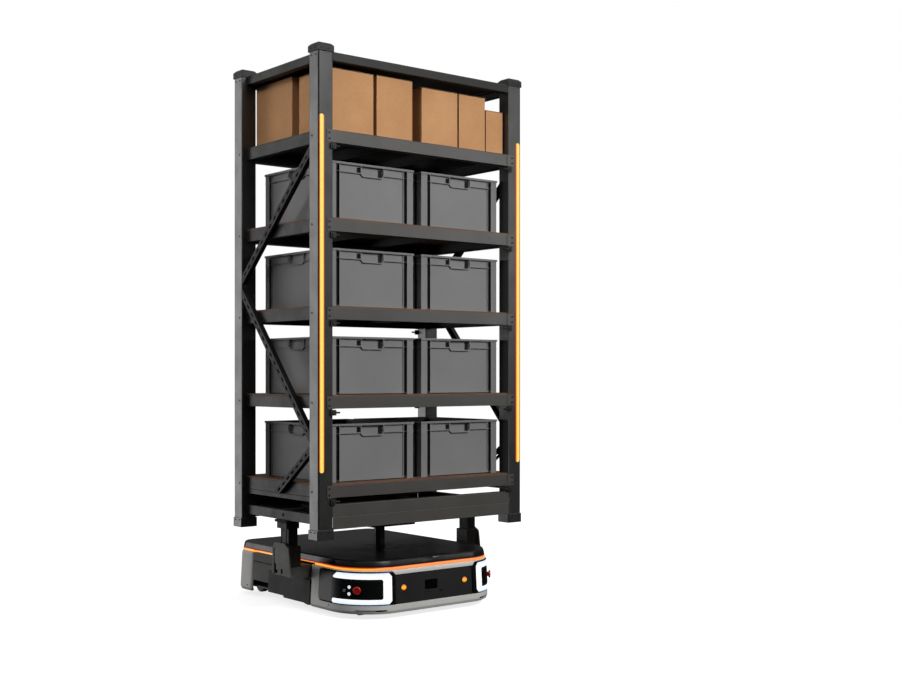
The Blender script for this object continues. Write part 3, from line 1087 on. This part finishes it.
# ------------------------------------------------------------------ rack
copy_node("rack_posts", "rack_post_set", M["rack"], "lift", 0.8, 2, angle=50)
copy_node("post_end_caps", "post_top_caps", M["cap"], "lift", 1.2, 2, keep=lambda lo, hi: lo[2] > 1000)
copy_node("post_end_caps", "post_feet", M["rack"], "lift", 0.9, 2, angle=50, keep=lambda lo, hi: lo[2] < 1000)
long_beam = lambda lo, hi: hi[0] - lo[0] > 850 and hi[1] - lo[1] < 80
other_member = lambda lo, hi: not long_beam(lo, hi)
copy_node("rack_base_frame", "rack_base_beams", M["beam"], "lift", 1.0, 2, keep=long_beam)
copy_node("rack_base_frame", "rack_base_members", M["member"], "lift", 1.0, 2, keep=other_member)
copy_node("shelf_frames", "shelf_beams", M["beam"], "lift", 1.0, 2, keep=long_beam)
copy_node("shelf_frames", "shelf_side_rails", M["member"], "lift", 1.0, 2, keep=other_member)
copy_node("rack_top", "rack_top_frame", M["member"], "lift", 1.0, 2)
copy_node("side_braces", "side_brace_channels", M["brace"], "lift", 0.6, 1)
copy_node("rack_fasteners", "rack_clips_and_bolts", M["cap"], "lift", 0.5, 2)
copy_node("shelf_boards", "shelf_board_set", M["board"], "lift", 0.5, 1)

# light strips on the front posts, in a dark slot
for side, sx in (("left", -1), ("right", 1)):
    bm = bmesh.new()
    n = 10
    x0, x1, z0, z1 = 474.6, 494.4, 562.6, 1887.4
    r = (x1 - x0) / 2
    loop = []
    for i in range(n + 1):
        a = math.pi * i / n
        loop.append(((x0 + x1) / 2 + r * math.cos(a), z1 - r + r * math.sin(a)))
    for i in range(n + 1):
        a = math.pi + math.pi * i / n
        loop.append(((x0 + x1) / 2 + r * math.cos(a), z0 + r + r * math.sin(a)))
    a_ = [bm.verts.new((sx * x, F - 0.1, z)) for x, z in loop]
    b_ = [bm.verts.new((sx * x, F - 2.9, z)) for x, z in loop]
    bm.faces.new(a_)
    bm.faces.new(list(reversed(b_)))
    for i in range(len(loop)):
        j = (i + 1) % len(loop)
        bm.faces.new((a_[i], b_[i], b_[j], a_[j]))
    bmesh.ops.recalc_face_normals(bm, faces=bm.faces)
    bevel(bm, 1.6, 3, 50, test=lambda e: all(v.co.y < F - 2 for v in e.verts))
    emit(bm, "post_light_strip_" + side, M["strip"], "lift", ("post_led_strips",))
    # dark slot between the strip and the post's outer edge, and the joint line down the post
    bm = complex_bm([("+", *sorted((sx * 494.6, sx * 498.4)), F - 0.4, F + 0.6, 356.0, 2118.0)])
    bevel(bm, 0.15, 1, 50)
    emit(bm, "post_slot_line_" + side, M["void"], "lift")

# ------------------------------------------------------------------ totes
def tote_bm():
    W, D, H = 400.0, 470.0, 220.0
    ops = []

    def add(*b_):
        ops.append(("+", *b_))

    def cut_(*b_):
        ops.append(("-", *b_))

    i0, o0 = 17.0, 14.0
    add(o0, W - o0, o0, D - o0, 0.0, 214.0)
    add(5, W - 5, 5, D - 5, 3.0, 9.0)
    # centre panels on each face, between the channels
    add(50, W - 50, 8.0, D - 8.0, 3.0, 212.0)
    add(8.0, W - 8.0, 50, D - 50, 3.0, 212.0)
    # ribs beside the channels
    for x in (48.0, W - 51.0):
        add(x, x + 3, 3.5, D - 3.5, 3.0, 212.0)
    for y in (48.0, D - 51.0):
        add(3.5, W - 3.5, y, y + 3, 3.0, 212.0)
    # corner columns
    for x0, x1 in ((3.0, 33.0), (W - 33.0, W - 3.0)):
        for y0, y1 in ((3.0, 33.0), (D - 33.0, D - 3.0)):
            add(x0, x1, y0, y1, 0.0, 214.0)
    # handle pockets: the wall set back between two ribs
    cx, cy = W / 2, D / 2
    cut_(cx - 50, cx + 50, 0, 13.0, 174, 210)
    cut_(cx - 50, cx + 50, D - 13.0, D, 174, 210)
    cut_(0, 13.0, cy - 50, cy + 50, 174, 210)
    cut_(W - 13.0, W, cy - 50, cy + 50, 174, 210)
    # rib round the tote, broken at the handles, and the rim
    for a, b_ in ((2.0, cx - 50), (cx + 50, W - 2.0)):
        add(a, b_, 2.0, 14, 182, 185)
        add(a, b_, D - 14, D - 2.0, 182, 185)
    for a, b_ in ((2.0, cy - 50), (cy + 50, D - 2.0)):
        add(2.0, 14, a, b_, 182, 185)
        add(W - 14, W - 2.0, a, b_, 182, 185)
    # the channels beside the corner columns, cut deep
    for a, b_ in ((33.0, 48.0), (W - 48.0, W - 33.0)):
        for z0, z1 in ((9.0, 182.0), (185.0, 206.0)):
            cut_(a, b_, 0, 14.0, z0, z1)
            cut_(a, b_, D - 14.0, D, z0, z1)
    for a, b_ in ((33.0, 48.0), (D - 48.0, D - 33.0)):
        for z0, z1 in ((9.0, 182.0), (185.0, 206.0)):
            cut_(0, 14.0, a, b_, z0, z1)
            cut_(W - 14.0, W, a, b_, z0, z1)
    # notches at the handles: outside the left rib, inside the right one
    for z0, z1 in ((186.0, 206.0),):
        for a, b_ in ((cx - 70, cx - 53), (cx + 33, cx + 50)):
            cut_(a, b_, 0, 14, z0 if a < cx else 176.0, z1)
            cut_(W - b_, W - a, D - 14, D, z0, z1)
        for a, b_ in ((cy - 50, cy - 33), (cy + 53, cy + 70)):
            cut_(0, 14, a, b_, z0, z1)
            cut_(W - 14, W, D - b_, D - a, z0, z1)
    add(0.5, W - 0.5, 0.5, D - 0.5, 212.0, 215.0)
    add(0.0, W, 0.0, D, 215.0, 220.0)
    # the hollow, and the stacking step in the rim
    cut_(i0, W - i0, i0, D - i0, 3.0, 220.0)
    cut_(8, W - 8, 8, D - 8, 216.0, 220.0)
    bm = complex_bm(ops)
    # rounded upright corners outside
    bevel(bm, 5.0, 3, 60, test=lambda e: abs(e.verts[0].co.z - e.verts[1].co.z) > 2 and all(
        (v.co.x < 3.6 or v.co.x > W - 3.6) and (v.co.y < 3.6 or v.co.y > D - 3.6) for v in e.verts), mark=False)
    # the ledge that rims each pocket: down at a slant from the rib, along the bottom, and up again
    def ledge(put):
        pts = [(-55.0, 186.5), (-55.0, 213.0), (-51.6, 213.0), (-51.6, 183.0), (-43.5, 174.6), (43.5, 174.6), (51.6, 183.0), (51.6, 213.0), (55.0, 213.0), (55.0, 181.6),
               (45.0, 171.2), (-45.0, 171.2), (-55.0, 181.6)]
        g = bmesh.new()
        fa = [g.verts.new(put(u, 1.6, z)) for u, z in pts]
        fb_ = [g.verts.new(put(u, 13.6, z)) for u, z in pts]
        g.faces.new(fa)
        g.faces.new(list(reversed(fb_)))
        for i in range(len(pts)):
            j = (i + 1) % len(pts)
            g.faces.new((fa[i], fb_[i], fb_[j], fa[j]))
        bmesh.ops.recalc_face_normals(g, faces=g.faces)
        bevel(g, 0.6, 2, 30)
        return g

    bevel(bm, 0.8, 2, 50)
    bm = merge(bm, ledge(lambda u, d, z: (cx + u, d, z)), ledge(lambda u, d, z: (cx - u, D - d, z)),
               ledge(lambda u, d, z: (d, cy - u, z)), ledge(lambda u, d, z: (W - d, cy + u, z)))
    lay = bm.faces.layers.float.get("cav") or bm.faces.layers.float.new("cav")
    for f in bm.faces:
        c, nrm = f.calc_center_median(), f.normal
        if c.z > 207:
            continue
        dx = min(c.x, W - c.x)
        dy = min(c.y, D - c.y)
        chan_x = 32.8 < dx < 48.2 and 1.2 < dy < 16
        chan_y = 32.8 < dy < 48.2 and 1.2 < dx < 16
        slot_x = 12 < dy < 16 and c.z > 175 and (cx - 71 < c.x < cx - 53 or cx + 33 < c.x < cx + 50) and c.y < 20
        slot_xb = 12 < dy < 16 and c.z > 175 and (cx + 53 < c.x < cx + 71 or cx - 50 < c.x < cx - 33) and c.y > 20
        slot_y = 12 < dx < 16 and c.z > 175 and (cy - 50 < c.y < cy - 33 or cy + 53 < c.y < cy + 70)
        if chan_x or chan_y:
            f[lay] = 1.0 if min(dx, dy) > 12 else 0.85
        elif slot_x or slot_xb or slot_y:
            f[lay] = 1.0
    return bm


tote_proto = tote_bm()
for level, zt in enumerate(SHELF_TOPS[:4]):
    for side, sx in (("left", -1), ("right", 1)):
        b_ = tote_proto.copy()
        bmesh.ops.translate(b_, vec=(sx * 217.5 - 200.0, F + 50.0, zt + 6.3), verts=b_.verts)
        node = "tote_%d_%s" % (level + 1, side)
        emit(b_, node + "_moulding", M["tote"], node + "_load", (node,), flat_over=6e-5)
tote_proto.free()

# ------------------------------------------------------------------ cartons
CARTONS = {
    "carton_a": (-430, -229, -370, -157, 2075), "carton_b": (-214, -42, -370, -150, 2076), "carton_c": (4, 186, -370, -140, 2060),
    "carton_d": (194, 332, -370, -165, 2060), "carton_e": (337, 428, -370, -190, 2012), "carton_f": (-430, -150, -107, 164, 2087),
}
CZ = 1836.3


def carton(name, x0, x1, y0, y1, z1):
    """Board box: walls that belly very slightly, and four top flaps that meet on the middle line."""
    z0 = CZ
    t = 3.0
    bm = bmesh.new()
    add_box(bm, x0 + 0.4, x1 - 0.4, y0 + 0.4, y1 - 0.4, z0, z1 - t)
    bmesh.ops.subdivide_edges(bm, edges=bm.edges, cuts=7, use_grid_fill=True)
    cx, cy, cz = (x0 + x1) / 2, (y0 + y1) / 2, (z0 + z1 - t) / 2
    hx, hy, hz = (x1 - x0) / 2 - 0.4, (y1 - y0) / 2 - 0.4, (z1 - t - z0) / 2
    for v in bm.verts:
        p = v.co
        a, b_, c = (p.x - cx) / hx, (p.y - cy) / hy, (p.z - cz) / hz
        g = 1.6
        if abs(abs(a) - 1) < 1e-3 and abs(b_) < 0.999 and abs(c) < 0.999:
            p.x -= math.copysign(g * (1 - b_ * b_) * (1 - c * c), a)
        elif abs(abs(b_) - 1) < 1e-3 and abs(a) < 0.999 and abs(c) < 0.999:
            p.y -= math.copysign(g * (1 - a * a) * (1 - c * c), b_)
    bevel(bm, 1.6, 2, 50)
    # top flaps: two across the short way under, two on top
    fl = bmesh.new()
    mid = (y0 + y1) / 2
    add_box(fl, x0 + 0.6, x1 - 0.6, y0 + 0.6, mid - 0.8, z1 - t + 0.2, z1 - 0.2)
    add_box(fl, x0 + 0.6, x1 - 0.6, mid + 0.8, y1 - 0.6, z1 - t + 0.2, z1 - 0.2)
    bevel(fl, 0.9, 2, 50)
    full = merge(bm, fl)
    ob = emit(full, name + "_box", M["carton"], name + "_load", (name,))
    return ob


for nm, dims in CARTONS.items():
    carton(nm, *dims)

# ------------------------------------------------------------------ room, lights, camera
def camera_only(ob):
    ob.visible_diffuse = ob.visible_glossy = ob.visible_transmission = ob.visible_volume_scatter = ob.visible_shadow = False


fm, fnt, fb = tree("pale_floor")
fv = coords(fnt)
fc = mix_rgb(fnt, remap(fnt, noise_out(fnt, fv, 1.4, 4.0, 0.5), 0.3, 0.7, 0.0, 1.0), (0.62, 0.62, 0.62), (0.66, 0.66, 0.66))
fnt.links.new(fc, fb.inputs["Base Color"])
fb.inputs["Roughness"].default_value = 0.8
fb.inputs["Specular IOR Level"].default_value = 0.0
fb.inputs["Emission Color"].default_value = (1, 1, 1, 1)
fb.inputs["Emission Strength"].default_value = 0.78
fbm = bmesh.new()
bmesh.ops.create_grid(fbm, x_segments=4, y_segments=4, size=40.0)
fme = bpy.data.meshes.new("studio_floor")
fbm.to_mesh(fme)
fbm.free()
floor = bpy.data.objects.new("studio_floor", fme)
floor.location = (0, 0, -0.0005)
scene.collection.objects.link(floor)
fme.materials.append(fm)
floor.visible_diffuse = floor.visible_glossy = floor.visible_shadow = False

wm, wnt, wb = tree("white_backdrop")
wb.inputs["Base Color"].default_value = (0, 0, 0, 1)
wb.inputs["Specular IOR Level"].default_value = 0.0
wnt.links.new(mix_rgb(wnt, noise_out(wnt, coords(wnt), 0.2, 2.0, 0.5), (1.0, 1.0, 1.0), (0.995, 0.995, 0.995)), wb.inputs["Emission Color"])
wb.inputs["Emission Strength"].default_value = 1.0
wbm = bmesh.new()
bmesh.ops.create_uvsphere(wbm, u_segments=48, v_segments=24, radius=30.0)
wme = bpy.data.meshes.new("studio_backdrop")
wbm.to_mesh(wme)
wbm.free()
backdrop = bpy.data.objects.new("studio_backdrop", wme)
scene.collection.objects.link(backdrop)
wme.materials.append(wm)
camera_only(backdrop)

world = bpy.data.worlds.new("studio")
scene.world = world
world.use_nodes = True
wt = world.node_tree
wg = wt.nodes.new("ShaderNodeTexCoord")
wz = wt.nodes.new("ShaderNodeSeparateXYZ")
wt.links.new(wg.outputs["Generated"], wz.inputs[0])
wt.links.new(ramp(wt, remap(wt, wz.outputs["Z"], -1.0, 1.0, 0.0, 1.0), [(0.0, (0.03, 0.03, 0.03)), (0.5, (0.05, 0.05, 0.05)), (0.62, (0.2, 0.2, 0.2)),
                  (0.78, (0.9, 0.9, 0.9)), (1.0, (1.0, 1.0, 1.0))]), wt.nodes["Background"].inputs[0])
wt.nodes["Background"].inputs[1].default_value = 0.45


def area(name, loc, target, size, power, color=(1, 1, 1), spread=180.0):
    li = bpy.data.lights.new(name, "AREA")
    li.shape = "RECTANGLE"
    li.size, li.size_y = size
    li.energy = power
    li.color = color
    li.spread = math.radians(spread)
    ob = bpy.data.objects.new(name, li)
    ob.location = loc
    ob.rotation_euler = (Vector(target) - Vector(loc)).to_track_quat("-Z", "Y").to_euler()
    scene.collection.objects.link(ob)
    return ob


area("sheen_back_left", (-4.15, 5.9, 1.0), (-0.4, 0, 0.95), (2.8, 6.4), 190.0)
area("front_soft", (0.4, -4.9, 4.0), (0, -0.3, 1.7), (2.4, 2.0), 250.0)
area("top_left_soft", (-3.2, -0.9, 3.5), (-0.4, -0.2, 1.98), (1.0, 1.0), 2.6, spread=42.0)
area("front_right_strip", (3.6, -4.0, 2.2), (0, 0, 1.4), (0.9, 2.2), 22.0)

cam = bpy.data.cameras.new("camera")
cam.sensor_width = 36.0
cam.lens = 1283.9 / 900.0 * 36.0
cam.shift_y = 37.3 / 900.0
cam.clip_start, cam.clip_end = 0.1, 100.0
cam_ob = bpy.data.objects.new("camera", cam)
cam_ob.location = (-3.0913, -4.3731, 0.925)
cam_ob.rotation_euler = (math.radians(90.0), 0.0, math.radians(-38.97))
scene.collection.objects.link(cam_ob)
scene.camera = cam_ob
scene.view_settings.view_transform = "Standard"
scene.view_settings.look = "None"
